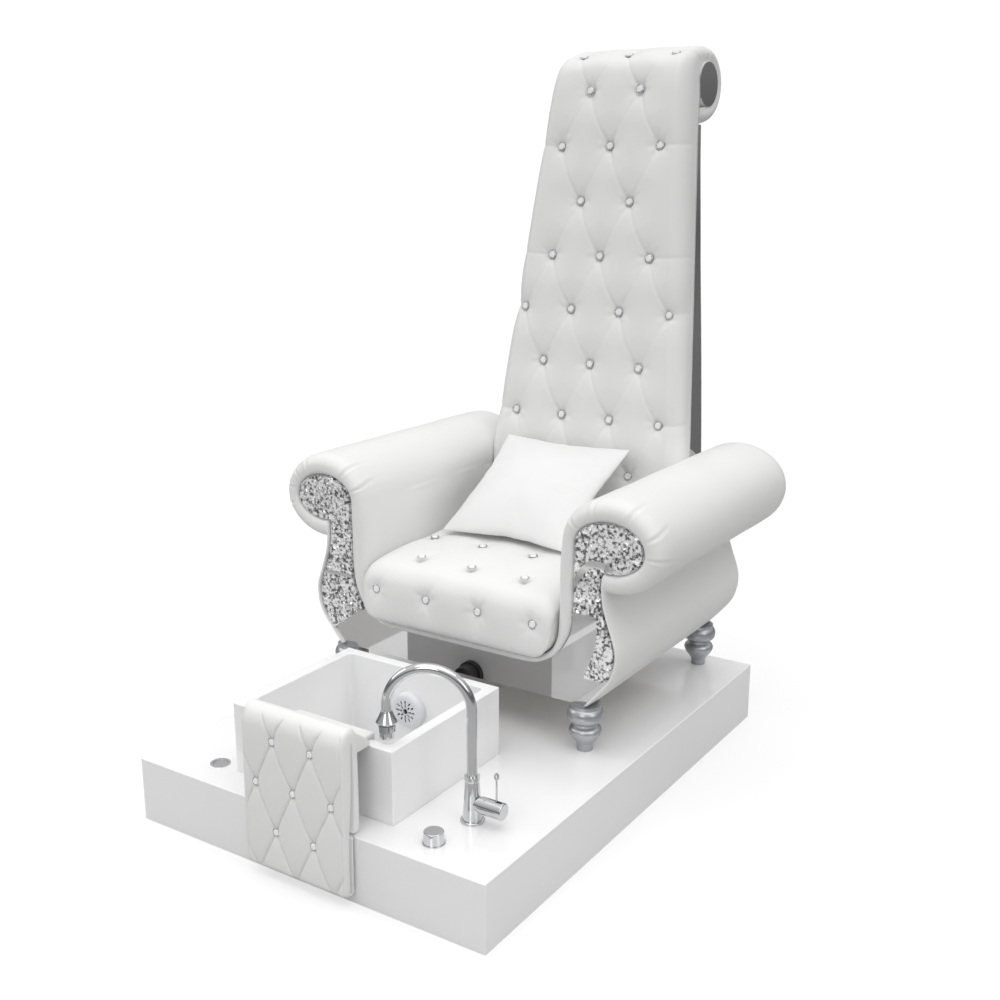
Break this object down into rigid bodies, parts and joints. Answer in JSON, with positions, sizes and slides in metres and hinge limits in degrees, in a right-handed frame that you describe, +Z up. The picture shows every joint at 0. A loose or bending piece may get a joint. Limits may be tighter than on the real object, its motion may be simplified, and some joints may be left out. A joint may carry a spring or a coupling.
{
  "type": "pedicure spa chair",
  "caption": "White tufted high-back armchair on a raised platform with a square foot tub, gooseneck mixer tap, crystal scroll arms and lift-off footrest pad.",
  "frame": {"origin": "on the floor under the middle of the platform", "axes": "+Z up; the chair faces -Y; +X is the sitter's left, where the tap stands"},
  "size_m": [1.134, 1.691, 1.858],
  "materials": {
    "gloss_white": "gloss white gel coat",
    "wood": "raw plywood and timber",
    "white_leather": "soft satin faux leather",
    "pillow_cover": "soft satin faux leather",
    "mirror_steel": "mirror-polished stainless steel",
    "crystal": "foil-backed cut glass",
    "silver_paint": "satin silver lacquer",
    "tap_chrome": "polished chrome plate",
    "jet_grey": "pale grey moulded plastic",
    "black_plastic": "black moulded plastic",
    "braided_hose": "braided stainless hose",
    "brass": "plain turned brass"
  },
  "bodies": {
    "chair": {"apron_plate": "mirror_steel", "arm_crystals_left": "crystal", "arm_crystals_right": "crystal", "arm_frame_left": "wood", "arm_frame_right": "wood", "arm_pad_left": "white_leather", "arm_pad_right": "white_leather", "arm_panel_left": "mirror_steel", "arm_panel_right": "mirror_steel", "back_buttons": "crystal", "back_cushion": "white_leather", "back_frame": "wood", "back_rear_cover": "white_leather", "back_side_plate_left": "mirror_steel", "back_side_plate_right": "mirror_steel", "base_frame": "wood", "button_bellows": "black_plastic", "button_bezel": "tap_chrome", "cold_inlet": "brass", "cold_supply_hose": "braided_hose", "drain_outlet": "jet_grey", "drain_pipe": "jet_grey", "drain_sump": "jet_grey", "hot_inlet": "brass", "hot_supply_hose": "braided_hose", "jet_cover": "tap_chrome", "jet_housing": "black_plastic", "jet_motor": "black_plastic", "knob_escutcheon": "tap_chrome", "leg_front_left": "silver_paint", "leg_front_right": "silver_paint", "leg_rear_left": "silver_paint", "leg_rear_right": "silver_paint", "locknuts": "brass", "mixer_barrel": "tap_chrome", "platform_bearers": "wood", "platform_shell": "gloss_white", "seat_buttons": "crystal", "seat_cushion": "white_leather", "seat_deck": "wood", "seat_lining": "white_leather", "tap_body": "tap_chrome", "tap_flange": "tap_chrome", "top_roll_disc_left": "mirror_steel", "top_roll_disc_right": "mirror_steel", "tub_drain_flange": "tap_chrome", "tub_shell": "gloss_white"},
    "spout": {"spout_tube": "tap_chrome", "spray_bell": "tap_chrome", "spray_nozzle": "tap_chrome"},
    "mixer_cap": {"mixer_cap": "tap_chrome"},
    "mixer_lever": {"mixer_lever": "tap_chrome"},
    "drain_knob": {"drain_knob": "tap_chrome"},
    "drain_stopper": {"drain_stopper": "tap_chrome"},
    "air_button": {"air_button": "tap_chrome"},
    "jet_impeller": {"jet_impeller": "jet_grey"},
    "footrest": {"footrest_pad": "white_leather", "footrest_flap": "white_leather", "footrest_buttons": "crystal"},
    "pillow": {"pillow": "pillow_cover"}
  },
  "joints": [
    {"name": "spout_swivel", "type": "hinge", "parent": "chair", "child": "spout", "pos_m": [0.336, -0.486, 0.25], "axis": [0, 0, 1], "range_deg": [-100, 60]},
    {"name": "mixer_turn", "type": "hinge", "parent": "chair", "child": "mixer_cap", "pos_m": [0.38, -0.486, 0.205], "axis": [1, 0, 0], "range_deg": [-45, 45]},
    {"name": "lever_tilt", "type": "hinge", "parent": "mixer_cap", "child": "mixer_lever", "pos_m": [0.399, -0.486, 0.205], "axis": [0, 1, 0], "range_deg": [0, 25]},
    {"name": "knob_turn", "type": "hinge", "parent": "chair", "child": "drain_knob", "pos_m": [0.32, -0.606, 0.17], "axis": [0, 0, 1], "range_deg": [0, 90]},
    {"name": "stopper_lift", "type": "slide", "parent": "chair", "child": "drain_stopper", "axis": [0, 0, 1], "range_m": [0, 0.01]},
    {"name": "button_press", "type": "slide", "parent": "chair", "child": "air_button", "axis": [0, 0, -1], "range_m": [0, 0.004], "stiffness_N_per_m": 400, "springref_m": -0.004},
    {"name": "impeller_spin", "type": "hinge", "parent": "chair", "child": "jet_impeller", "pos_m": [-0.04, -0.22, 0.227], "axis": [0, 1, 0], "continuous": true},
    {"name": "footrest_lift", "type": "slide", "parent": "chair", "child": "footrest", "axis": [0, 0, 1], "range_m": [0, 0.12]},
    {"name": "pillow_lift", "type": "slide", "parent": "chair", "child": "pillow", "axis": [0, 0, 1], "range_m": [0, 0.3]}
  ],
  "couplings": [
    {"joint": "stopper_lift", "follows": "knob_turn", "m_per_rad": 0.00636}
  ]
}
